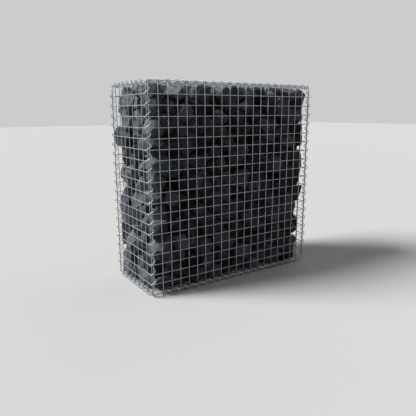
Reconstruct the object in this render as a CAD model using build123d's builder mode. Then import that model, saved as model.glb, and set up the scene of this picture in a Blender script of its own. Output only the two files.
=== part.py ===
from build123d import *
from math import cos, floor, hypot, pi, radians, sin, sqrt
import os

# Gabion wall: one free-standing basket of welded wire mesh, laced along its edges and filled with rock.
# X runs along the wall, Y through it with the front at -Y, and Z is up.
# The origin is under the middle of the basket, at the height of the ground.

# Welded mesh, counted in cells
cell = 50.0
cells_long = 20
cells_deep = 8
cells_high = 20
mesh_wire = 4.0
# Hairline between the upright and level wires of a panel, inside its frame of edge wires
layer_play = 0.2
# Room between the ends of one panel's wires and the edge wire of the next panel
corner_play = 0.9

# Lacing spirals: one turn in each cell, right-handed
spiral_wire = 4.0
wrap_play = 0.35
steps_per_turn = 8
# Angle from the outward diagonal at the start of each edge
phase_bottom = 45.0
phase_top = -16.0
phase_front_left = -22.0
phase_front_right = -16.0
# A spiral starts this share of a turn in from the corner, where three of them meet
inset_turns = 0.25

# Rock fill, placed in lifts
lifts = 5
fill_play = 0.3
head_room = 8.0
# Ragged upright corners, each by its side in X and in Y: how far the rock is cut back along both
# faces, at the bottom, at the joints between lifts and at the top
set_backs = {
    (-1, -1): (24.0, 32.0, 22.0, 34.0, 26.0, 30.0),
    (1, -1): (46.0, 60.0, 38.0, 64.0, 42.0, 50.0),
    (1, 1): (28.0, 40.0, 30.0, 44.0, 34.0, 40.0),
    (-1, 1): (34.0, 44.0, 36.0, 52.0, 60.0, 90.0),
}

# Basket measured between the outermost grid lines
long = cells_long * cell
deep = cells_deep * cell
high = cells_high * cell

# Each panel has two layers of wire, and its middle lies this far outside the grid lines
layer_offset = (mesh_wire + layer_play) / 2
panel_offset = mesh_wire + layer_offset + corner_play
outer_layer = panel_offset + layer_offset
inner_layer = panel_offset - layer_offset

# A three-sided section with the area of the round wire, a flat side towards the edge wires
section_radius = spiral_wire * sqrt(pi / (3 * sqrt(3)))
# A spiral goes round two edge wires, one in an outer and one in an inner layer
wrap_reach = hypot((outer_layer + mesh_wire) / 2, (inner_layer + mesh_wire) / 2)
half_step = pi / steps_per_turn
spiral_radius = (wrap_reach + wrap_play) / cos(half_step) + section_radius / 2
spiral_reach = spiral_radius + section_radius
spiral_pitch = cell

# The basket stands on its lower front and back spirals
grid_bottom = outer_layer / 2 + spiral_reach
grid_top = grid_bottom + high
grid_middle = grid_bottom + high / 2

# The rock bears on the inside of the mesh
fill_margin = inner_layer - mesh_wire / 2 - fill_play
fill_long = long + 2 * fill_margin
fill_deep = deep + 2 * fill_margin
fill_bottom = grid_bottom - fill_margin
fill_top = grid_top + inner_layer - mesh_wire / 2 - head_room
lift_height = (fill_top - fill_bottom) / lifts
# Bevel that keeps the rock's edges clear of the spirals
edge_relief = sqrt(2) * (spiral_reach + fill_play) + 2 * fill_margin - (outer_layer + inner_layer) / 2

os.makedirs("parts", exist_ok=True)


def save(piece, name):
    piece.part.label = name
    export_step(piece.part, f"parts/{name}.step")


def mesh_panel(name, centre, outward, outer_wires_along, cells_along, cells_across):
    """One welded panel: outer wires run along the local X, inner wires run across them."""
    face = Plane(origin=centre, x_dir=outer_wires_along, z_dir=outward)
    outer_length = cells_along * cell + mesh_wire
    inner_length = cells_across * cell + mesh_wire
    with BuildPart() as panel:
        with BuildSketch(face.offset(layer_play / 2)):
            with GridLocations(0, cell, 1, cells_across - 1):
                Rectangle(outer_length, mesh_wire)
        extrude(amount=mesh_wire)
        with BuildSketch(face.offset(-layer_play / 2)):
            with GridLocations(cell, 0, cells_along - 1, 1):
                Rectangle(mesh_wire, inner_length)
        extrude(amount=-mesh_wire)
        # The edge wires bear on the other layer and are welded to every wire that ends on them
        with BuildSketch(face.offset(-layer_play / 2)):
            with GridLocations(0, cells_across * cell, 1, 2):
                Rectangle(outer_length, mesh_wire)
        extrude(amount=mesh_wire)
        with BuildSketch(face.offset(layer_play / 2)):
            with GridLocations(cells_along * cell, 0, 2, 1):
                Rectangle(mesh_wire, inner_length)
        extrude(amount=-mesh_wire)
    save(panel, name)


def lacing_spiral(name, start, along, outward, edge_length, phase):
    """Lacing wire wound round one edge of the basket, from just inside one corner to the other."""
    frame = Plane(origin=start, x_dir=outward, z_dir=along)
    step = spiral_pitch / steps_per_turn
    inset = inset_turns * spiral_pitch
    steps = floor((edge_length - 2 * inset) / step + 0.001)
    first = (edge_length - steps * step) / 2
    rise = spiral_pitch / (2 * pi)
    corners = [Vector(section_radius, 0, 0).rotate(Axis.Z, 120 * side) for side in range(3)]
    rings = []
    for station in range(steps + 1):
        travel = first + station * step
        angle = radians(phase + 360 * travel / spiral_pitch)
        radial = frame.x_dir * cos(angle) + frame.y_dir * sin(angle)
        tangent = frame.y_dir * cos(angle) - frame.x_dir * sin(angle)
        heading = tangent * spiral_radius + frame.z_dir * rise
        point = frame.origin + radial * spiral_radius + frame.z_dir * travel
        section = Plane(origin=point, x_dir=radial, z_dir=heading)
        rings.append([section.from_local_coords(corner) for corner in corners])
    # Each side of each step is two flat triangles, so that no face is twisted. They fold inwards on the
    # side that bears on the edge wires, and outwards on the two others.
    skin = [Face(Wire.make_polygon(rings[0])), Face(Wire.make_polygon(rings[-1]))]
    for here, there in zip(rings, rings[1:]):
        sides = (
            (here[1], here[2], there[2], there[1]),
            (here[0], there[0], there[2], here[2]),
            (here[1], there[1], there[0], here[0]),
        )
        for a, b, c, d in sides:
            skin.append(Face(Wire.make_polygon([a, b, c])))
            skin.append(Face(Wire.make_polygon([a, c, d])))
    with BuildPart() as spiral:
        add(Solid(Shell(skin)))
    save(spiral, name)


def corner_line(side_x, side_y, set_back, height):
    """Middle of the line where the rock is cut back at one upright corner."""
    x = side_x * (fill_long - set_back) / 2
    y = side_y * (fill_deep - set_back) / 2
    return Vector(x, y, height)


def rock_lift(name, level):
    """One lift of the fill, its corners leaning from the set-back below to the one above."""
    low = fill_bottom + level * lift_height
    with BuildPart() as lift:
        with BuildSketch(Plane.XY.offset(low)):
            Rectangle(fill_long, fill_deep)
        extrude(amount=lift_height)
        if level == 0:
            chamfer(lift.faces().sort_by(Axis.Z)[0].edges(), edge_relief)
        if level == lifts - 1:
            chamfer(lift.faces().sort_by(Axis.Z)[-1].edges(), edge_relief)
        for (side_x, side_y), depths in set_backs.items():
            below, above = (max(edge_relief, depths[joint]) for joint in (level, level + 1))
            foot = corner_line(side_x, side_y, below, low)
            head = corner_line(side_x, side_y, above, low + lift_height)
            level_line = Vector(-side_y, side_x, 0)
            outward = level_line.cross(head - foot)
            split(bisect_by=Plane(origin=foot, x_dir=level_line, z_dir=outward), keep=Keep.BOTTOM)
    save(lift, name)


# Six welded panels
for name, side in (("mesh_front", -1), ("mesh_back", 1)):
    centre = (0, side * (deep / 2 + panel_offset), grid_middle)
    mesh_panel(name, centre, (0, side, 0), (0, 0, 1), cells_high, cells_long)
for name, side in (("mesh_left_end", -1), ("mesh_right_end", 1)):
    centre = (side * (long / 2 + panel_offset), 0, grid_middle)
    mesh_panel(name, centre, (side, 0, 0), (0, 1, 0), cells_deep, cells_high)
for name, side in (("mesh_base", -1), ("mesh_lid", 1)):
    centre = (0, 0, grid_middle + side * (high / 2 + panel_offset))
    mesh_panel(name, centre, (0, 0, side), (1, 0, 0), cells_long, cells_deep)

# Twelve lacing spirals: six edges, and their twins half a turn about the upright axis away
far_x = long / 2
far_y = deep / 2
axis_low = grid_bottom - outer_layer / 2
axis_high = grid_top + outer_layer / 2
edges = (
    ("front_left", "back_right", (-far_x - inner_layer / 2, -far_y - outer_layer / 2, grid_bottom),
     (0, 0, 1), (-1, -1, 0), high, phase_front_left),
    ("front_right", "back_left", (far_x + inner_layer / 2, -far_y - outer_layer / 2, grid_bottom),
     (0, 0, 1), (1, -1, 0), high, phase_front_right),
    ("bottom_front", "bottom_back", (-far_x, -far_y - inner_layer / 2, axis_low),
     (1, 0, 0), (0, -1, -1), long, phase_bottom),
    ("top_front", "top_back", (-far_x, -far_y - inner_layer / 2, axis_high),
     (1, 0, 0), (0, -1, 1), long, phase_top),
    ("bottom_left", "bottom_right", (-far_x - outer_layer / 2, -far_y, grid_bottom - inner_layer / 2),
     (0, 1, 0), (-1, 0, -1), deep, phase_bottom),
    ("top_left", "top_right", (-far_x - outer_layer / 2, -far_y, grid_top + inner_layer / 2),
     (0, 1, 0), (-1, 0, 1), deep, phase_top),
)
for name, twin, start, along, outward, edge_length, phase in edges:
    lacing_spiral(f"spiral_{name}", Vector(start), Vector(along), Vector(outward), edge_length, phase)
    turned = [Vector(v).rotate(Axis.Z, 180) for v in (start, along, outward)]
    lacing_spiral(f"spiral_{twin}", turned[0], turned[1], turned[2], edge_length, phase)

# The rock fill, lowest lift first
for level in range(lifts):
    rock_lift(f"rock_lift_{level + 1}", level)
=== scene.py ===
"""Looks of a free-standing gabion wall: welded wire mesh, laced along its edges and packed with basalt."""

import itertools
import logging
import math
import random
from collections.abc import Sequence
from dataclasses import dataclass, field
from enum import Enum
from typing import Any

import bmesh
import bpy
from mathutils import Euler, Matrix, Vector, kdtree, noise


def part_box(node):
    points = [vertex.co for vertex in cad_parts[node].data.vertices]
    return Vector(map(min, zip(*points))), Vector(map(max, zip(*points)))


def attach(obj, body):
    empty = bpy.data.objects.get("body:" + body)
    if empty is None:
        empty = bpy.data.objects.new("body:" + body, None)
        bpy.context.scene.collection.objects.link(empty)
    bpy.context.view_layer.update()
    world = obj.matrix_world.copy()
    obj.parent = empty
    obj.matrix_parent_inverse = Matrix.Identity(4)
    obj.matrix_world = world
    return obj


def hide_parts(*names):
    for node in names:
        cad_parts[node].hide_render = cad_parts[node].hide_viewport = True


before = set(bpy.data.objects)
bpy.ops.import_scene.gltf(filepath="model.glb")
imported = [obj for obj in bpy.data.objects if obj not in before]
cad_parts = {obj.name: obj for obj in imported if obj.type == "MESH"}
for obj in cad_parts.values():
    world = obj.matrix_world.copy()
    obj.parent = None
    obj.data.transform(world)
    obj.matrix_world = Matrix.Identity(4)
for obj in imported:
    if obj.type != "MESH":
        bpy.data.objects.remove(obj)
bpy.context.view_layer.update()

LOG = logging.getLogger("gabion_wall")

MM = 0.001
IMAGE_SIZE = 416

# Seed of the noise that wavers the wires, which Blender otherwise takes from the clock
WAVER_SEED = 7

# Numbers of the axes: along the wall, through it, and up
AXES = range(3)
ALONG, THROUGH, UP = AXES

# The sRGB curve: straight for the darkest values, and a power above them
SRGB_STRAIGHT_END = 0.04045
SRGB_STRAIGHT_SLOPE = 12.92
SRGB_SHIFT = 0.055
SRGB_SCALE = 1.055
SRGB_POWER = 2.4

# Sockets that share their name with others of their node and so are known by number: those of sums and
# mixes, and the colours of a Mix node
FIRST, SECOND, THIRD = range(3)
MIX_BELOW, MIX_ABOVE, MIX_RESULT = 6, 7, 2

# Angle from the outward diagonal at which the spiral of an edge starts, in degrees
PHASE_FRONT_LEFT = -55.0
PHASE_FRONT_RIGHT = -16.0
PHASE_BOTTOM = 45.0
PHASE_TOP = -16.0


class Side(Enum):
    """A side of the basket, as the axis that it faces along and the way that it faces."""

    FRONT = (THROUGH, -1)
    BACK = (THROUGH, 1)
    LEFT = (ALONG, -1)
    RIGHT = (ALONG, 1)
    BASE = (UP, -1)
    LID = (UP, 1)

    @property
    def axis(self) -> int:
        """Number of the axis that the side faces along."""
        return self.value[0]

    @property
    def sign(self) -> int:
        """Which way the side faces along its axis, as 1 or -1."""
        return self.value[1]

    @property
    def normal(self) -> Vector:
        """Unit vector that points out of the basket."""
        outward = Vector((0.0, 0.0, 0.0))
        outward[self.axis] = self.sign
        return outward


def next_axis(axis: int) -> int:
    """Number of the axis after another, with the first again after the last."""
    return (axis + 1) % len(AXES)


def linear(hex_colour: str) -> tuple[float, float, float, float]:
    """Turn an sRGB hex value into the linear colour that a shader takes.

    Args:
        hex_colour: Colour such as "#8f9396".

    Returns:
        Linear red, green and blue, and an alpha of 1.
    """
    channels = []
    for byte in bytes.fromhex(hex_colour.removeprefix("#")):
        value = byte / 255
        if value <= SRGB_STRAIGHT_END:
            channels.append(value / SRGB_STRAIGHT_SLOPE)
        else:
            channels.append(((value + SRGB_SHIFT) / SRGB_SCALE) ** SRGB_POWER)
    red, green, blue = channels
    return (red, green, blue, 1.0)


def add_node(
    tree: bpy.types.NodeTree,
    kind: str,
    settings: dict[str, Any] | None = None,
    inputs: dict[str | int, Any] | None = None,
) -> bpy.types.Node:
    """Add one node with its settings and what its sockets take.

    Args:
        tree: Node tree that the node joins.
        kind: Blender's name of the node's type.
        settings: Properties of the node and their values.
        inputs: For each socket a fixed value, or the output that it is linked to.

    Returns:
        The new node.
    """
    new = tree.nodes.new(kind)
    for name, value in (settings or {}).items():
        setattr(new, name, value)
    for socket, value in (inputs or {}).items():
        if isinstance(value, bpy.types.NodeSocket):
            tree.links.new(value, new.inputs[socket])
        else:
            new.inputs[socket].default_value = value
    return new


def new_material(name: str) -> tuple[bpy.types.Material, bpy.types.NodeTree]:
    """Make an empty node material.

    Args:
        name: Name of the material.

    Returns:
        The material and its node tree.
    """
    material = bpy.data.materials.new(name)
    material.use_nodes = True
    material.node_tree.nodes.clear()
    return material, material.node_tree


def make_piece(
    name: str, data: bpy.types.Mesh, material: bpy.types.Material, node: str
) -> bpy.types.Object:
    """Turn a mesh into a piece that stands for one node of the fixed frame.

    Args:
        name: Name of the piece.
        data: Its mesh, in place.
        material: Its finish.
        node: Node that the piece replaces.

    Returns:
        The piece.
    """
    data.materials.append(material)
    piece = bpy.data.objects.new(name, data)
    bpy.context.scene.collection.objects.link(piece)
    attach(piece, "root")
    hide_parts(node)
    LOG.info("%s stands for %s with %d faces", name, node, len(data.polygons))
    return piece


def smooth_data(name: str, mesh: bmesh.types.BMesh) -> bpy.types.Mesh:
    """Turn a working mesh into smoothly shaded data, and free it.

    Args:
        name: Name of the data.
        mesh: The working mesh.

    Returns:
        The data.
    """
    for face in mesh.faces:
        face.smooth = True
    data = bpy.data.meshes.new(name)
    mesh.to_mesh(data)
    mesh.free()
    return data


def wavered(point: Vector, length: float, depth: float) -> Vector:
    """Place of a point of perfect wire on real wire, which wavers by a depth over a length."""
    return point + noise.noise_vector(point / length) * depth


def sweep_wire(mesh: bmesh.types.BMesh, path: Sequence[Vector], radius: float, sides: int) -> None:
    """Add a round wire with flat ends along a path.

    Args:
        mesh: Mesh that the wire joins.
        path: Points of the wire's centre line.
        radius: Radius of the wire.
        sides: Number of flats round the wire.
    """
    rings = []
    turns = [2 * math.pi * side / sides for side in range(sides)]
    across = (path[1] - path[0]).orthogonal()
    for index, point in enumerate(path):
        ahead = path[min(index + 1, len(path) - 1)] - path[max(index - 1, 0)]
        ahead.normalize()
        across = (across - ahead * across.dot(ahead)).normalized()
        beside = ahead.cross(across)
        spokes = [across * math.cos(turn) + beside * math.sin(turn) for turn in turns]
        rings.append([mesh.verts.new(point + spoke * radius) for spoke in spokes])
    for here, there in zip(rings, rings[1:]):
        for side in range(sides):
            following = (side + 1) % sides
            mesh.faces.new((here[side], here[following], there[following], there[side]))
    mesh.faces.new(rings[0][::-1])
    mesh.faces.new(rings[-1])


@dataclass(frozen=True)
class HotDipZinc:
    """Drawn steel wire, hot-dip galvanised: dull grey zinc with cloudy lighter patches and soft gloss."""

    name: str = "hot_dip_zinc_on_mesh_wire"
    fresh: str = "#adb1b7"
    dull: str = "#8f9399"
    metallic: float = 0.9
    smooth: float = 0.42
    matt: float = 0.62
    # Clouds in the zinc, a few centimetres long on real wire, and the stretches of their noise over which
    # the grey and the gloss change
    cloud_mm: float = 22.0
    cloud_detail: float = 3.0
    cloud_roughness: float = 0.6
    grey_stretch: tuple[float, float] = (0.35, 0.65)
    gloss_stretch: tuple[float, float] = (0.3, 0.7)
    # Runs and pimples of the zinc coat
    lump_mm: float = 2.5
    lump_detail: float = 2.0
    lump_depth_mm: float = 0.12
    lump_strength: float = 0.6

    def material(self) -> bpy.types.Material:
        """Make the zinc finish.

        Returns:
            The material.
        """
        material, tree = new_material(self.name)
        place = add_node(tree, "ShaderNodeTexCoord").outputs["Object"]
        clouds = add_node(tree, "ShaderNodeTexNoise", inputs={
            "Vector": place, "Scale": 1 / (self.cloud_mm * MM),
            "Detail": self.cloud_detail, "Roughness": self.cloud_roughness,
        })
        # The clouds change the grey a little, so that no wire is one even tone
        colour = add_node(tree, "ShaderNodeValToRGB", inputs={"Fac": clouds.outputs["Fac"]})
        dull_stop, fresh_stop = colour.color_ramp.elements
        dull_stop.position, fresh_stop.position = self.grey_stretch
        dull_stop.color = linear(self.dull)
        fresh_stop.color = linear(self.fresh)
        gloss = add_node(tree, "ShaderNodeMapRange", inputs={
            "Value": clouds.outputs["Fac"],
            "From Min": self.gloss_stretch[0], "From Max": self.gloss_stretch[1],
            "To Min": self.matt, "To Max": self.smooth,
        })
        # Lumps in the coat break up the highlights along the wire
        lumps = add_node(tree, "ShaderNodeTexNoise", inputs={
            "Vector": place, "Scale": 1 / (self.lump_mm * MM), "Detail": self.lump_detail,
        })
        relief = add_node(tree, "ShaderNodeBump", inputs={
            "Height": lumps.outputs["Fac"], "Strength": self.lump_strength,
            "Distance": self.lump_depth_mm * MM,
        })
        shader = add_node(tree, "ShaderNodeBsdfPrincipled", inputs={
            "Base Color": colour.outputs["Color"], "Metallic": self.metallic,
            "Roughness": gloss.outputs["Result"], "Normal": relief.outputs["Normal"],
        })
        add_node(tree, "ShaderNodeOutputMaterial", inputs={"Surface": shader.outputs["BSDF"]})
        return material


@dataclass(frozen=True)
class CrushedBasalt:
    """Basalt broken in a crusher: matt and dark grey, with paler dust on the breaks that face up."""

    darkest: str = "#343539"
    palest: str = "#7b7e83"
    dust: str = "#888a8d"
    roughness: float = 0.7
    # Breaks full of pores give back little of the gloss of polished rock
    specular: float = 0.02
    # Crystals of the rock, drawn coarser than the real fraction of a millimetre so that they show
    grain_mm: float = 3.0
    grain_detail: float = 4.0
    grain_roughness: float = 0.7
    grain_depth_mm: float = 0.5
    grain_strength: float = 0.7
    # Steps and hollows of a fresh break
    break_mm: float = 16.0
    break_detail: float = 5.0
    break_roughness: float = 0.62
    break_depth_mm: float = 2.2
    break_strength: float = 0.9
    # Stretch of the grain's noise over which its speckles change, and how dark and how pale they make the
    # rock
    speckle_stretch: tuple[float, float] = (0.35, 0.65)
    speckles: tuple[float, float] = (0.72, 1.3)
    # Dust: how patchy it lies, from where to where it thickens, and how much it hides at its thickest
    dust_patches: float = 1.6
    dust_stretch: tuple[float, float] = (1.0, 2.0)
    dust_most: float = 0.52
    # Attribute of the mesh that tells how pale a stone is, from 0 to 1
    tone_name: str = "stone_tone"

    def material(self) -> bpy.types.Material:
        """Make the finish of the rock fill.

        Returns:
            The material.
        """
        material, tree = new_material("crushed_basalt")
        place = add_node(tree, "ShaderNodeTexCoord").outputs["Object"]
        # Each stone has a tone of its own
        tone = add_node(tree, "ShaderNodeAttribute", {"attribute_name": self.tone_name})
        stone = add_node(tree, "ShaderNodeMix", {"data_type": "RGBA"}, {
            "Factor": tone.outputs["Fac"],
            MIX_BELOW: linear(self.darkest), MIX_ABOVE: linear(self.palest),
        })
        grain = add_node(tree, "ShaderNodeTexNoise", inputs={
            "Vector": place, "Scale": 1 / (self.grain_mm * MM),
            "Detail": self.grain_detail, "Roughness": self.grain_roughness,
        })
        breaks = add_node(tree, "ShaderNodeTexNoise", inputs={
            "Vector": place, "Scale": 1 / (self.break_mm * MM),
            "Detail": self.break_detail, "Roughness": self.break_roughness,
        })
        # Crystals speckle the colour
        speckle = add_node(tree, "ShaderNodeMapRange", inputs={
            "Value": grain.outputs["Fac"],
            "From Min": self.speckle_stretch[0], "From Max": self.speckle_stretch[1],
            "To Min": self.speckles[0], "To Max": self.speckles[1],
        })
        speckled = add_node(tree, "ShaderNodeVectorMath", {"operation": "SCALE"}, {
            FIRST: stone.outputs[MIX_RESULT], "Scale": speckle.outputs["Result"],
        })
        # Crusher dust lies on what faces up, in patches
        facing = add_node(tree, "ShaderNodeNewGeometry").outputs["Normal"]
        upward = add_node(tree, "ShaderNodeSeparateXYZ", inputs={"Vector": facing}).outputs["Z"]
        patchy = add_node(tree, "ShaderNodeMath", {"operation": "MULTIPLY_ADD"}, {
            FIRST: breaks.outputs["Fac"], SECOND: self.dust_patches, THIRD: upward,
        })
        dusty = add_node(tree, "ShaderNodeMapRange", inputs={
            "Value": patchy.outputs["Value"],
            "From Min": self.dust_stretch[0], "From Max": self.dust_stretch[1],
            "To Min": 0.0, "To Max": self.dust_most,
        })
        colour = add_node(tree, "ShaderNodeMix", {"data_type": "RGBA"}, {
            "Factor": dusty.outputs["Result"],
            MIX_BELOW: speckled.outputs["Vector"], MIX_ABOVE: linear(self.dust),
        })
        broken = add_node(tree, "ShaderNodeBump", inputs={
            "Height": breaks.outputs["Fac"], "Strength": self.break_strength,
            "Distance": self.break_depth_mm * MM,
        })
        rough = add_node(tree, "ShaderNodeBump", inputs={
            "Height": grain.outputs["Fac"], "Strength": self.grain_strength,
            "Distance": self.grain_depth_mm * MM, "Normal": broken.outputs["Normal"],
        })
        shader = add_node(tree, "ShaderNodeBsdfPrincipled", inputs={
            "Base Color": colour.outputs[MIX_RESULT], "Roughness": self.roughness,
            "Specular IOR Level": self.specular, "Normal": rough.outputs["Normal"],
        })
        add_node(tree, "ShaderNodeOutputMaterial", inputs={"Surface": shader.outputs["BSDF"]})
        return material


@dataclass
class Grid:
    """Grid lines of the basket's mesh and its two layers of wire, read from the fixed frame."""

    wire: float = 4.0 * MM
    pitch: float = 50.0 * MM
    low: Vector = field(init=False)
    high: Vector = field(init=False)
    # How far outside the outermost grid lines the two layers of wire lie
    outer: float = field(init=False)
    inner: float = field(init=False)

    def __post_init__(self) -> None:
        """Read the outermost grid lines and the layers from the boxes of two panels."""
        half = self.wire / 2
        front_low, front_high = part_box("mesh_front")
        end_low, end_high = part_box("mesh_left_end")
        self.low = Vector((front_low.x + half, end_low.y + half, front_low.z + half))
        self.high = Vector((front_high.x - half, end_high.y - half, front_high.z - half))
        self.outer = self.low.y - front_low.y - half
        self.inner = self.low.y - front_high.y + half

    def edge(self, side: Side) -> float:
        """Outermost grid line on one side."""
        return (self.low if side.sign < 0 else self.high)[side.axis]

    def lines(self, axis: int) -> list[float]:
        """Places of the grid lines along one axis.

        Args:
            axis: Number of the axis.

        Returns:
            The places, lowest first.
        """
        cells = round((self.high[axis] - self.low[axis]) / self.pitch)
        return [self.low[axis] + self.pitch * line for line in range(cells + 1)]


@dataclass
class WeldedPanel:
    """One welded panel: round wires in two layers, fused where they cross."""

    grid: Grid
    side: Side
    sides_of_wire: int = 8
    steps_per_cell: int = 2
    # How deep crossing wires are pressed into each other by the weld
    fused: float = 0.6 * MM
    # Zinc and steel squeezed out round a weld
    weld_width: float = 2.9 * MM
    weld_height: float = 2.4 * MM
    # Waver of drawn wire, and the length over which it changes
    waver: float = 0.5 * MM
    waver_length: float = 130.0 * MM

    def wire_path(self, along: int, across: int, place: float, height: float) -> list[Vector]:
        """Centre line of one wire.

        Args:
            along: Axis that the wire runs along.
            across: Axis across the wire in the panel.
            place: Grid line that the wire is on.
            height: Place of the wire's layer along the panel's own axis.

        Returns:
            Points from one end of the wire to the other.
        """
        grid = self.grid
        lines = grid.lines(along)
        step = grid.pitch / self.steps_per_cell
        inside = [lines[0] + step * number for number in range(1, (len(lines) - 1) * self.steps_per_cell)]
        stops = [lines[0] - grid.wire / 2] + inside + [lines[-1] + grid.wire / 2]
        path = []
        for stop in stops:
            point = Vector((0.0, 0.0, 0.0))
            point[along] = stop
            point[across] = place
            point[self.side.axis] = height
            path.append(wavered(point, self.waver_length, self.waver))
        return path

    def add_weld(
        self, mesh: bmesh.types.BMesh, outer_along: int, first: float, second: float, height: float
    ) -> None:
        """Add the flattened bead of one weld.

        Args:
            mesh: Mesh of the panel.
            outer_along: Axis that the outer wires run along.
            first: Place of the weld along that axis.
            second: Place of the weld across it.
            height: Place of the weld along the panel's own axis.
        """
        middle = Vector((0.0, 0.0, 0.0))
        middle[outer_along] = first
        middle[next_axis(outer_along)] = second
        middle[self.side.axis] = height
        size = Vector((self.weld_width,) * len(AXES))
        size[self.side.axis] = self.weld_height
        middle = wavered(middle, self.waver_length, self.waver)
        place = Matrix.Translation(middle) @ Matrix.Diagonal(size).to_4x4()
        bmesh.ops.create_icosphere(mesh, subdivisions=1, radius=1.0, matrix=place)

    def build(self, material: bpy.types.Material) -> bpy.types.Object:
        """Make the panel's wires and welds.

        Args:
            material: Finish of the wire.

        Returns:
            The panel.
        """
        grid = self.grid
        # Outer wires run upright on the front, through the wall on the ends, and along it on the lid
        outer_along = next_axis(self.side.axis)
        inner_along = next_axis(outer_along)
        outer_height = grid.edge(self.side) + self.side.sign * (grid.outer - self.fused / 2)
        inner_height = grid.edge(self.side) + self.side.sign * (grid.inner + self.fused / 2)
        mesh = bmesh.new()
        for place in grid.lines(inner_along):
            path = self.wire_path(outer_along, inner_along, place, outer_height)
            sweep_wire(mesh, path, grid.wire / 2, self.sides_of_wire)
        for place in grid.lines(outer_along):
            path = self.wire_path(inner_along, outer_along, place, inner_height)
            sweep_wire(mesh, path, grid.wire / 2, self.sides_of_wire)
        for first, second in itertools.product(grid.lines(outer_along), grid.lines(inner_along)):
            self.add_weld(mesh, outer_along, first, second, (outer_height + inner_height) / 2)
        side_name = self.side.name.lower()
        data = smooth_data(f"wires_{side_name}", mesh)
        node = f"mesh_{side_name}_end" if self.side.axis == ALONG else f"mesh_{side_name}"
        return make_piece(data.name, data, material, node)


@dataclass
class LacingSpiral:
    """Wire wound like a corkscrew round the two edge wires where two panels meet."""

    grid: Grid
    first: Side
    second: Side
    phase: float
    runs_back: bool = False
    coil_radius: float = 11.5 * MM
    sides_of_wire: int = 8
    steps_per_turn: int = 18
    # A spiral starts this share of a turn in from the corner, where three of them meet
    inset_turns: float = 0.22
    # Hand winding: how much the coil breathes, and over what length
    unevenness: float = 0.5 * MM
    uneven_length: float = 90.0 * MM

    def axis_start(self, axis: int) -> Vector:
        """Start of the spiral's axis, midway between the two edge wires that it holds together.

        Args:
            axis: Number of the axis that the edge runs along.

        Returns:
            The point.
        """
        grid = self.grid
        start = Vector((0.0, 0.0, 0.0))
        for side in (self.first, self.second):
            # One of the two edge wires lies in its panel's outer layer and the other in its inner one
            layer = grid.outer if next_axis(side.axis) == axis else grid.inner
            start[side.axis] = grid.edge(side) + side.sign * layer / 2
        start[axis] = grid.high[axis] if self.runs_back else grid.low[axis]
        return start

    def build(self, material: bpy.types.Material) -> bpy.types.Object:
        """Make the spiral as a round wire.

        Args:
            material: Finish of the wire.

        Returns:
            The spiral.
        """
        grid = self.grid
        # The edge runs along the one axis that neither panel faces along
        axis = sum(AXES) - self.first.axis - self.second.axis
        ahead = Vector((0.0, 0.0, 0.0))
        ahead[axis] = -1.0 if self.runs_back else 1.0
        outward = (self.first.normal + self.second.normal).normalized()
        beside = ahead.cross(outward)
        start = self.axis_start(axis)
        length = grid.high[axis] - grid.low[axis]
        turns = length / grid.pitch - 2 * self.inset_turns
        steps = round(turns * self.steps_per_turn)
        path = []
        for step in range(steps + 1):
            travel = self.inset_turns * grid.pitch + step * turns * grid.pitch / steps
            angle = math.radians(self.phase + 360 * travel / grid.pitch)
            radial = outward * math.cos(angle) + beside * math.sin(angle)
            point = start + ahead * travel + radial * self.coil_radius
            path.append(wavered(point, self.uneven_length, self.unevenness))
        mesh = bmesh.new()
        sweep_wire(mesh, path, grid.wire / 2, self.sides_of_wire)
        place = f"{self.first.name}_{self.second.name}".lower()
        place = place.replace("base", "bottom").replace("lid", "top")
        data = smooth_data(f"lacing_{place}", mesh)
        return make_piece(data.name, data, material, f"spiral_{place}")


@dataclass(frozen=True)
class RaggedCorner:
    """One upright corner of the fill, where the rock stands back from the mesh."""

    end: Side
    face: Side
    # How far the rock stands back along both faces, at even steps from the bottom to the top, and by how
    # much single stones differ from that, both in millimetres
    depths: tuple[float, ...]
    spread: float
    # Stones at the corner are packed tight, so that no daylight comes through there: the most that their
    # distances to the end and to the face come to, in millimetres
    room: float
    # Breaks towards the mesh on each side of such a stone, and the least and most of a corner's reach that
    # a chip leaves
    breaks: int
    chip: tuple[float, float]
    # Most that the plane behind which a stone is kept leans, in degrees
    lean: float = 24.0

    def depth_at(self, share: float) -> float:
        """How far the rock stands back at one height.

        Args:
            share: The height as a share of the room's.

        Returns:
            The depth in millimetres, between those of the steps below and above.
        """
        height = share * (len(self.depths) - 1)
        step = min(int(height), len(self.depths) - 2)
        below, above = self.depths[step:step + 2]
        return below + (above - below) * (height - step)


@dataclass
class Lift:
    """Stones of one lift, joined as they are added."""

    corners: list[tuple[float, ...]] = field(default_factory=list)
    faces: list[list[int]] = field(default_factory=list)
    tones: list[float] = field(default_factory=list)
    # Edges between breaks stay sharp from this angle on, in degrees
    sharp_angle: float = 28.0

    def add(self, stone: bmesh.types.BMesh, tone: float) -> None:
        """Add one stone, and free its mesh.

        Args:
            stone: Mesh of the stone.
            tone: How pale it is, from 0 to 1.
        """
        stone.verts.index_update()
        first = len(self.corners)
        self.corners += [tuple(corner.co) for corner in stone.verts]
        self.faces += [[first + corner.index for corner in face.verts] for face in stone.faces]
        self.tones += [tone] * len(stone.verts)
        stone.free()

    def build(self, number: int, tone_name: str, material: bpy.types.Material) -> bpy.types.Object:
        """Turn the stones into the piece of the lift.

        Args:
            number: Number of the lift, from 1 at the bottom.
            tone_name: Attribute that the finish takes the tones from.
            material: Finish of the rock.

        Returns:
            The piece.
        """
        data = bpy.data.meshes.new(f"stones_{number}")
        data.from_pydata(self.corners, [], self.faces)
        data.attributes.new(tone_name, "FLOAT", "POINT").data.foreach_set("value", self.tones)
        data.shade_smooth()
        data.set_sharp_from_angle(angle=math.radians(self.sharp_angle))
        return make_piece(data.name, data, material, f"rock_lift_{number}")


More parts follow.
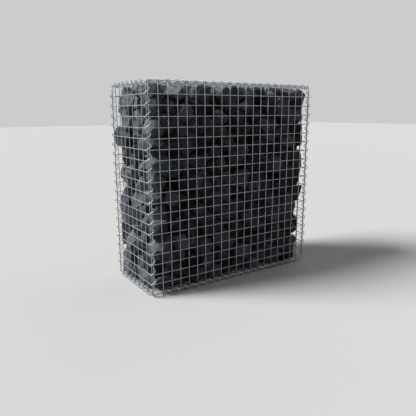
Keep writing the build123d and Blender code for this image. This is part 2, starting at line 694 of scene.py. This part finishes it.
@dataclass
class RockFill:
    """Crushed rock in the basket, stone by stone, each broken out of the room between its neighbours."""

    finish: CrushedBasalt
    lifts: int = 5
    seed: int = 7
    # Least distance between the middles of two stones, and the room kept to the mesh
    spacing: float = 69.0 * MM
    wall_room: float = 20.0 * MM
    throws: int = 36000
    # Stones lie on their broad sides with their heads to the front: how much the room is stretched along
    # X, Y and Z before the stones share it out
    stretches: tuple[float, float, float] = (1.0, 0.69, 1.14)
    neighbours: int = 22
    # Stones whose middle lies this deep inside are packed tight, so that no daylight comes through the pile
    core_depth: float = 82.0 * MM
    # So are the stones at the upright corners, which are chipped only this near to the mesh
    corner_chip_room: float = 28.0 * MM
    # How much larger or smaller than its neighbours a stone is
    sizes: tuple[float, float] = (0.7, 1.4)
    # How near to a plane a corner counts as lying on it
    cut_touch: float = 0.001 * MM
    # Half of the joint between two stones
    joint: tuple[float, float] = (0.2 * MM, 6.0 * MM)
    # The same where stones bear on each other, which makes up for the hollows in their breaks
    bearing_joint: tuple[float, float] = (-2.4 * MM, -1.0 * MM)
    # Chips knocked off the corners: how many, out of how many throws each takes the longest, what share of
    # the corner's reach they leave, and their lean in degrees
    chips: tuple[int, int] = (6, 10)
    chip_throws: int = 3
    chip_leaves: tuple[float, float] = (0.6, 0.88)
    chip_lean: float = 22.0
    # How far in from the mesh a stone lies, seated against it or sunk behind its neighbours
    touching: float = 1.0 * MM
    seated: tuple[float, float] = (1.0 * MM, 5.0 * MM)
    sunk: tuple[float, float] = (10.0 * MM, 44.0 * MM)
    sunk_share: float = 0.4
    # Some small stones are missing from the pile, which leaves hollows: the share of them, the largest
    # relative size of such a stone, and the distance that they keep from the ends and from the lid
    missing_share: float = 0.5
    missing_size: float = 0.92
    missing_inset: float = 90.0 * MM
    missing_drop: float = 50.0 * MM
    # The tops reach up to the lid, higher than the solid lift that stands for them
    top_rise: float = 6.0 * MM
    # Breaks on the side towards the mesh: how many, their lean in degrees, and how far they leave its
    # middle standing
    face_lean: float = 12.0
    lid_lean: float = 7.0
    base_lean: float = 2.0
    breaks: int = 3
    lid_breaks: int = 1
    break_lean: tuple[float, float] = (16.0, 44.0)
    break_stand: float = 9.0 * MM
    # Rounding of the edges, the facet down to which the breaks are divided, and how often they are halved
    edge_round: float = 2.0 * MM
    facet: float = 15.0 * MM
    halvings: int = 3
    # Roughness of the breaks, as a coarse and a fine wave, and how far apart two stones lie in its noise
    coarse_wave: float = 34.0 * MM
    coarse_depth: float = 2.6 * MM
    fine_wave: float = 9.0 * MM
    fine_depth: float = 0.9 * MM
    noise_steps: tuple[float, float, float] = (0.37, 0.73, 0.19)
    # Stones that lie this deep inside stay plain, because nothing shows of them
    hidden_depth: float = 60.0 * MM
    corners: tuple[RaggedCorner, ...] = (
        RaggedCorner(
            end=Side.LEFT, face=Side.FRONT, depths=(16.0, 19.0, 16.0, 19.0, 16.0, 19.0),
            spread=4.0, room=150.0, breaks=3, chip=(0.62, 0.88),
        ),
        RaggedCorner(
            end=Side.RIGHT, face=Side.FRONT,
            depths=(54.0, 60.0, 66.0, 96.0, 40.0, 76.0, 74.0, 20.0, 40.0, 54.0,
                    46.0, 32.0, 12.0, 60.0, 36.0, 38.0, 54.0, 14.0, 6.0, 16.0),
            spread=8.0, room=230.0, breaks=1, chip=(0.8, 0.95),
        ),
        RaggedCorner(
            end=Side.RIGHT, face=Side.BACK, depths=(28.0, 40.0, 30.0, 44.0, 34.0, 40.0),
            spread=16.0, room=160.0, breaks=2, chip=(0.7, 0.9),
        ),
        RaggedCorner(
            end=Side.LEFT, face=Side.BACK,
            depths=(30.0, 35.0, 42.0, 45.0, 38.0, 35.0, 25.0, 22.0, 22.0, 25.0,
                    40.0, 70.0, 75.0, 65.0, 12.0, 5.0, 20.0, 45.0, 100.0, 130.0),
            spread=6.0, room=200.0, breaks=1, chip=(0.84, 0.97), lean=10.0,
        ),
    )
    # Along the lid and the base, the outermost stones have a shoulder, which leaves the lacing free
    lid_shoulder: tuple[float, float] = (16.0 * MM, 26.0 * MM)
    base_shoulder: tuple[float, float] = (17.5 * MM, 20.0 * MM)
    lid_shoulder_lean: float = 12.0
    base_shoulder_lean: float = 3.0
    low: Vector = field(init=False)
    high: Vector = field(init=False)
    draw: random.Random = field(init=False)

    def __post_init__(self) -> None:
        """Read the room for the rock from the lowest and the highest lift."""
        self.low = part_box("rock_lift_1")[0]
        self.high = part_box(f"rock_lift_{self.lifts}")[1] + Vector((0.0, 0.0, self.top_rise))
        self.draw = random.Random(self.seed)

    def stretched(self, point: Vector) -> Vector:
        """Point of the real room in the stretched room."""
        return Vector([point[axis] * self.stretches[axis] for axis in AXES])

    def real(self, point: Vector) -> Vector:
        """Point of the stretched room in the real room."""
        return Vector([point[axis] / self.stretches[axis] for axis in AXES])

    def wall(self, side: Side) -> float:
        """Place of one side of the room along its axis."""
        return (self.low if side.sign < 0 else self.high)[side.axis]

    def insets(self, point: Vector) -> list[float]:
        """Distance from a point to the nearer wall along each axis."""
        return [min(point[axis] - self.low[axis], self.high[axis] - point[axis]) for axis in AXES]

    def depth(self, stone: bmesh.types.BMesh) -> float:
        """Least distance from a stone to the room's walls.

        Args:
            stone: Mesh of the stone in its real shape.

        Returns:
            The distance.
        """
        return min(min(self.insets(corner.co)) for corner in stone.verts)

    @staticmethod
    def middle_of(points: Sequence[Vector]) -> Vector:
        """Mean of some points."""
        return sum(points, Vector((0.0, 0.0, 0.0))) / len(points)

    def scatter(self) -> list[Vector]:
        """Throw the stones' middles at random, none closer to another than the spacing.

        Returns:
            The middles, in the stretched room.
        """
        margin = Vector((self.wall_room,) * len(AXES))
        low = self.stretched(self.low + margin)
        high = self.stretched(self.high - margin)
        least = self.spacing ** 2
        middles: list[Vector] = []
        for _ in range(self.throws):
            throw = Vector([self.draw.uniform(a, b) for a, b in zip(low, high)])
            if all((throw - middle).length_squared > least for middle in middles):
                middles.append(throw)
        return middles

    def lean(self, direction: Vector, least: float, most: float) -> Vector:
        """Lean a direction by a random angle to a random side.

        Args:
            direction: Unit vector.
            least: Smallest angle in degrees.
            most: Largest angle in degrees.

        Returns:
            The leaning unit vector.
        """
        turn = Matrix.Rotation(self.draw.uniform(0, 2 * math.pi), 3, direction)
        pivot = turn @ direction.orthogonal()
        angle = math.radians(self.draw.uniform(least, most))
        return Matrix.Rotation(angle, 3, pivot) @ direction

    def break_off(self, stone: bmesh.types.BMesh, point: Vector, normal: Vector) -> None:
        """Break off what lies beyond a plane.

        Args:
            stone: Mesh of the stone.
            point: Point of the plane.
            normal: Direction that is broken off.
        """
        if all((corner.co - point).dot(normal) < 0 for corner in stone.verts):
            return
        everything = stone.verts[:] + stone.edges[:] + stone.faces[:]
        cut = bmesh.ops.bisect_plane(
            stone, geom=everything, dist=self.cut_touch, plane_co=point, plane_no=normal, clear_outer=True
        )
        rim = [part for part in cut["geom_cut"] if isinstance(part, bmesh.types.BMEdge)]
        if rim:
            bmesh.ops.edgeloop_fill(stone, edges=rim)

    def break_out(
        self, middle: Vector, size: float, others: list[tuple[Vector, float]], joint: tuple[float, float]
    ) -> bmesh.types.BMesh:
        """Break one stone out of the room between its neighbours.

        Args:
            middle: Middle of the stone in the stretched room.
            size: Relative size of the stone.
            others: Middles and relative sizes of its neighbours.
            joint: Least and most that half of a joint may measure.

        Returns:
            Mesh of the stone in the real room.
        """
        low = self.stretched(self.low)
        high = self.stretched(self.high)
        stone = bmesh.new()
        bmesh.ops.create_cube(stone, size=1.0)
        for corner in stone.verts:
            corner.co = Vector([low[axis] if corner.co[axis] < 0 else high[axis] for axis in AXES])
        for other, other_size in others:
            way = other - middle
            share = size / (size + other_size)
            point = middle + way * share - way.normalized() * self.draw.uniform(*joint)
            self.break_off(stone, point, way.normalized())
        for corner in stone.verts:
            corner.co = self.real(corner.co)
        return stone

    def face_the_mesh(self, stone: bmesh.types.BMesh, corner: RaggedCorner | None) -> None:
        """Give a stone that lies along the mesh uneven breaks of its own there.

        Args:
            stone: Mesh of the stone.
            corner: Upright corner that the stone is at, where none is sunk.
        """
        touched = []
        for side in Side:
            wall = self.wall(side)
            points = [point.co.copy() for point in stone.verts]
            near = [point for point in points if abs(point[side.axis] - wall) < self.touching]
            if not near:
                continue
            touched.append(side)
            if side is Side.BASE:
                most, breaks = self.base_lean, 0
            elif side is Side.LID:
                most, breaks = self.lid_lean, self.lid_breaks
            else:
                most, breaks = self.face_lean, corner.breaks if corner else self.breaks
            sinks = side.axis != UP and not corner and self.draw.random() < self.sunk_share
            inset = self.draw.uniform(*(self.sunk if sinks else self.seated))
            point = self.middle_of(near) - side.normal * inset
            self.break_off(stone, point, self.lean(side.normal, 0.0, most))
            for _ in range(breaks):
                normal = self.lean(side.normal, *self.break_lean)
                self.break_off(stone, point + normal * self.draw.uniform(0.0, self.break_stand), normal)
        for first, second in itertools.combinations(touched, 2):
            if second.axis == UP:
                self.cut_shoulder(stone, first, second)

    def cut_shoulder(self, stone: bmesh.types.BMesh, upright: Side, level: Side) -> None:
        """Cut back a stone's edge along the base or the lid.

        Args:
            stone: Mesh of the stone.
            upright: Upright side of the basket along the edge.
            level: The base or the lid.
        """
        on_base = level is Side.BASE
        shoulder = self.base_shoulder if on_base else self.lid_shoulder
        edge = self.middle_of([point.co for point in stone.verts])
        edge[upright.axis] = self.wall(upright) - upright.sign * self.draw.uniform(*shoulder)
        edge[level.axis] = self.wall(level)
        outward = (upright.normal + level.normal).normalized()
        most = self.base_shoulder_lean if on_base else self.lid_shoulder_lean
        self.break_off(stone, edge, self.lean(outward, 0.0, most))

    def corner_of(self, point: Vector) -> RaggedCorner | None:
        """Find the upright corner that a stone is at.

        Args:
            point: Middle of the stone in the real room.

        Returns:
            The corner, or nothing for a stone that is at none.
        """
        for corner in self.corners:
            reach = abs(point.x - self.wall(corner.end)) + abs(point.y - self.wall(corner.face))
            if reach < corner.room * MM:
                return corner
        return None

    def keep_back(self, stone: bmesh.types.BMesh) -> None:
        """Keep a stone back from the ragged upright corners.

        Args:
            stone: Mesh of the stone.
        """
        middle = self.middle_of([corner.co for corner in stone.verts])
        share = (middle.z - self.low.z) / (self.high.z - self.low.z)
        for corner in self.corners:
            depth = (corner.depth_at(share) + self.draw.uniform(-corner.spread, corner.spread)) * MM
            edge = Vector((self.wall(corner.end), self.wall(corner.face), middle.z))
            outward = (corner.end.normal + corner.face.normal).normalized()
            point = edge - outward * depth / math.sqrt(2)
            self.break_off(stone, point, self.lean(outward, 0.0, corner.lean))

    def chip(self, stone: bmesh.types.BMesh, room: float, leaves: tuple[float, float]) -> None:
        """Knock chips off the corners that stand out most.

        Args:
            stone: Mesh of the stone.
            room: How far from the mesh the corners may lie.
            leaves: Least and most of a corner's reach that a chip leaves.
        """
        for _ in range(self.draw.randint(*self.chips)):
            corners = [corner.co.copy() for corner in stone.verts]
            middle = self.middle_of(corners)
            open_corners = [corner for corner in corners if min(self.insets(corner)) < room]
            if not open_corners:
                return
            ways = [self.draw.choice(open_corners) - middle for _ in range(self.chip_throws)]
            way = max(ways, key=lambda each: each.length)
            left = self.draw.uniform(*leaves)
            self.break_off(stone, middle + way * left, self.lean(way.normalized(), 0.0, self.chip_lean))

    def roughen(self, stone: bmesh.types.BMesh, number: int) -> None:
        """Round the stone's edges and roughen its breaks.

        Args:
            stone: Mesh of the stone in its real shape.
            number: Number of the stone, which gives it a roughness of its own.
        """
        bmesh.ops.dissolve_degenerate(stone, dist=self.edge_round, edges=stone.edges[:])
        bmesh.ops.bevel(
            stone, geom=stone.edges[:], offset=self.edge_round, segments=1, profile=0.5,
            affect="EDGES", clamp_overlap=True,
        )
        bmesh.ops.triangulate(stone, faces=stone.faces[:])
        for _ in range(self.halvings):
            long = [edge for edge in stone.edges if edge.calc_length() > self.facet]
            bmesh.ops.subdivide_edges(stone, edges=long, cuts=1)
            bmesh.ops.triangulate(stone, faces=stone.faces[:])
        stone.normal_update()
        shift = Vector([number * step for step in self.noise_steps])
        for corner in stone.verts:
            coarse = noise.noise(corner.co / self.coarse_wave + shift) * self.coarse_depth
            fine = noise.noise(corner.co / self.fine_wave + shift) * self.fine_depth
            corner.co += corner.normal * (min(coarse, 0.0) + fine)

    def build(self, material: bpy.types.Material) -> list[bpy.types.Object]:
        """Make all the stones and join them into one piece for each lift.

        Args:
            material: Finish of the rock.

        Returns:
            The lifts, lowest first.
        """
        middles = self.scatter()
        sizes = [self.draw.uniform(*self.sizes) for _ in middles]
        tree = kdtree.KDTree(len(middles))
        for number, middle in enumerate(middles):
            tree.insert(middle, number)
        tree.balance()
        lifts = [Lift() for _ in range(self.lifts)]
        lift_height = (self.high.z - self.low.z) / self.lifts
        for number, middle in enumerate(middles):
            # Each stone has its own throws, so that a change to one leaves the others as they are
            self.draw = random.Random(self.seed * len(middles) + number)
            place = self.real(middle)
            insets = self.insets(place)
            core = min(insets) > self.core_depth
            corner = self.corner_of(place)
            loose = not core and not corner
            small = sizes[number] < self.missing_size
            inside = insets[ALONG] > self.missing_inset and insets[UP] > self.missing_drop
            if loose and small and inside and self.draw.random() < self.missing_share:
                continue
            found = tree.find_n(middle, self.neighbours + 1)
            others = [(other, sizes[index]) for other, index, _ in found if index != number]
            joint = self.joint if loose else self.bearing_joint
            stone = self.break_out(middle, sizes[number], others, joint)
            if not core:
                self.face_the_mesh(stone, corner)
                self.keep_back(stone)
                if corner:
                    self.chip(stone, self.corner_chip_room, corner.chip)
                else:
                    self.chip(stone, math.inf, self.chip_leaves)
            if self.depth(stone) < self.hidden_depth:
                self.roughen(stone, number)
            level = min(int((place.z - self.low.z) / lift_height), self.lifts - 1)
            lifts[level].add(stone, self.draw.random())
        LOG.info("the fill has room for %d stones", len(middles))
        return [lift.build(level, self.finish.tone_name, material) for level, lift in enumerate(lifts, 1)]


@dataclass(frozen=True)
class Lamp:
    """One wide soft lamp, far away."""

    name: str
    strength: float
    # How wide it looks, and from where it shines, in degrees
    width: float
    azimuth: float
    height: float

    def hang(self) -> None:
        """Hang the lamp."""
        data = bpy.data.lights.new(self.name, "SUN")
        data.energy = self.strength
        data.angle = math.radians(self.width)
        turn = math.radians(self.azimuth)
        rise = math.radians(self.height)
        towards = Vector((math.cos(turn) * math.cos(rise), math.sin(turn) * math.cos(rise), math.sin(rise)))
        hung = bpy.data.objects.new(self.name, data)
        hung.rotation_euler = towards.to_track_quat("Z", "Y").to_euler()
        bpy.context.scene.collection.objects.link(hung)


@dataclass
class Studio:
    """Pale floor, soft light and the camera at the photograph's viewing angle."""

    # Camera: place in metres, and how far it is turned, tipped from the level and rolled, in degrees
    camera_place: tuple[float, float, float] = (-1.3616, -1.9858, 0.8828)
    camera_yaw: float = 33.52
    camera_pitch: float = -12.45
    camera_roll: float = -0.24
    # How far a camera that looks straight down is tipped to look level
    level_tip: float = 90.0
    # Focal length in pixels of the square image
    focal_pixels: float = 430.1
    sensor_mm: float = 36.0
    # How far the camera sees, and the floor's size, in metres
    sight: float = 100.0
    floor_size: float = 60.0
    floor_roughness: float = 0.9
    floor_specular: float = 0.2
    # The floor as it shows, and as it lights the object from below
    floor_seen: str = "#d4d4d2"
    floor_lit: str = "#4a4a49"
    sky: str = "#e6ebf2"
    sky_strength: float = 0.07
    # The backdrop as it shows, where a strength of 1 is white
    backdrop: str = "#ececeb"
    backdrop_strength: float = 0.72
    lamps: tuple[Lamp, ...] = (
        Lamp("key", strength=4.1, width=26.0, azimuth=153.0, height=42.0),
        Lamp("fill", strength=0.19, width=110.0, azimuth=215.0, height=42.0),
        Lamp("side", strength=0.6, width=80.0, azimuth=12.0, height=30.0),
    )

    @staticmethod
    def shows(tree: bpy.types.NodeTree) -> bpy.types.NodeSocket:
        """Tell the rays that show a surface from those that carry its light to the object.

        Args:
            tree: Node tree of the floor or the world.

        Returns:
            Output that is 1 for the camera, in gloss and through glass, and otherwise 0.
        """
        rays = add_node(tree, "ShaderNodeLightPath").outputs
        seen = add_node(tree, "ShaderNodeMath", {"operation": "ADD"}, {
            FIRST: rays["Is Camera Ray"], SECOND: rays["Is Glossy Ray"],
        })
        seen = add_node(tree, "ShaderNodeMath", {"operation": "ADD", "use_clamp": True}, {
            FIRST: seen.outputs["Value"], SECOND: rays["Is Transmission Ray"],
        })
        return seen.outputs["Value"]

    def add_floor(self) -> None:
        """Lay the plain floor."""
        mesh = bmesh.new()
        bmesh.ops.create_grid(mesh, x_segments=1, y_segments=1, size=self.floor_size / 2)
        data = bpy.data.meshes.new("floor")
        mesh.to_mesh(data)
        mesh.free()
        material, tree = new_material("matt_floor_paint")
        colour = add_node(tree, "ShaderNodeMix", {"data_type": "RGBA"}, {
            "Factor": self.shows(tree),
            MIX_BELOW: linear(self.floor_lit), MIX_ABOVE: linear(self.floor_seen),
        })
        shader = add_node(tree, "ShaderNodeBsdfPrincipled", inputs={
            "Base Color": colour.outputs[MIX_RESULT], "Roughness": self.floor_roughness,
            "Specular IOR Level": self.floor_specular,
        })
        add_node(tree, "ShaderNodeOutputMaterial", inputs={"Surface": shader.outputs["BSDF"]})
        data.materials.append(material)
        floor = bpy.data.objects.new("floor", data)
        bpy.context.scene.collection.objects.link(floor)

    def add_world(self) -> None:
        """Light the scene softly from all round."""
        world = bpy.data.worlds.new("soft_sky")
        world.use_nodes = True
        tree = world.node_tree
        tree.nodes.clear()
        sky = add_node(tree, "ShaderNodeBackground", inputs={
            "Color": linear(self.sky), "Strength": self.sky_strength,
        })
        backdrop = add_node(tree, "ShaderNodeBackground", inputs={
            "Color": linear(self.backdrop), "Strength": self.backdrop_strength,
        })
        both = add_node(tree, "ShaderNodeMixShader", inputs={
            FIRST: self.shows(tree),
            SECOND: sky.outputs["Background"], THIRD: backdrop.outputs["Background"],
        })
        add_node(tree, "ShaderNodeOutputWorld", inputs={"Surface": both.outputs["Shader"]})
        bpy.context.scene.world = world

    def add_camera(self) -> None:
        """Set up the camera."""
        data = bpy.data.cameras.new("camera")
        data.sensor_width = self.sensor_mm
        data.lens = self.focal_pixels / IMAGE_SIZE * data.sensor_width
        data.clip_end = self.sight
        camera = bpy.data.objects.new("camera", data)
        tip = math.radians(self.level_tip + self.camera_pitch)
        tipped = Euler((tip, 0.0, math.radians(-self.camera_yaw)))
        rolled = tipped.to_matrix() @ Matrix.Rotation(math.radians(self.camera_roll), 3, "Z")
        camera.matrix_world = Matrix.Translation(self.camera_place) @ rolled.to_4x4()
        bpy.context.scene.collection.objects.link(camera)
        bpy.context.scene.camera = camera

    def build(self) -> None:
        """Set up the floor, the light and the camera."""
        self.add_floor()
        self.add_world()
        for lamp in self.lamps:
            lamp.hang()
        self.add_camera()
        bpy.context.scene.view_settings.view_transform = "Standard"


def main() -> None:
    """Build the basket, its lacing, the rock and the studio."""
    logging.basicConfig(level=logging.INFO, format="%(message)s")
    noise.seed_set(WAVER_SEED)
    Studio().build()
    grid = Grid()
    mesh_zinc = HotDipZinc().material()
    # The zinc on the lacing is paler and more matt than on the mesh
    lacing_zinc = HotDipZinc(
        name="hot_dip_zinc_on_lacing_wire", fresh="#c8cbd0", dull="#a4a8ae", smooth=0.54, matt=0.7
    ).material()
    for side in Side:
        WeldedPanel(grid, side).build(mesh_zinc)
    # The two panels that meet at each edge, the phase of its spiral, and whether it runs back along its axis
    lacings = (
        (Side.FRONT, Side.LEFT, PHASE_FRONT_LEFT, False),
        (Side.BACK, Side.RIGHT, PHASE_FRONT_LEFT, False),
        (Side.FRONT, Side.RIGHT, PHASE_FRONT_RIGHT, False),
        (Side.BACK, Side.LEFT, PHASE_FRONT_RIGHT, False),
        (Side.BASE, Side.FRONT, PHASE_BOTTOM, False),
        (Side.BASE, Side.BACK, PHASE_BOTTOM, True),
        (Side.LID, Side.FRONT, PHASE_TOP, False),
        (Side.LID, Side.BACK, PHASE_TOP, True),
        (Side.BASE, Side.LEFT, PHASE_BOTTOM, False),
        (Side.BASE, Side.RIGHT, PHASE_BOTTOM, True),
        (Side.LID, Side.LEFT, PHASE_TOP, False),
        (Side.LID, Side.RIGHT, PHASE_TOP, True),
    )
    for first, second, phase, runs_back in lacings:
        LacingSpiral(grid, first, second, phase, runs_back).build(lacing_zinc)
    basalt = CrushedBasalt()
    RockFill(basalt).build(basalt.material())


if __name__ == "__main__":
    main()
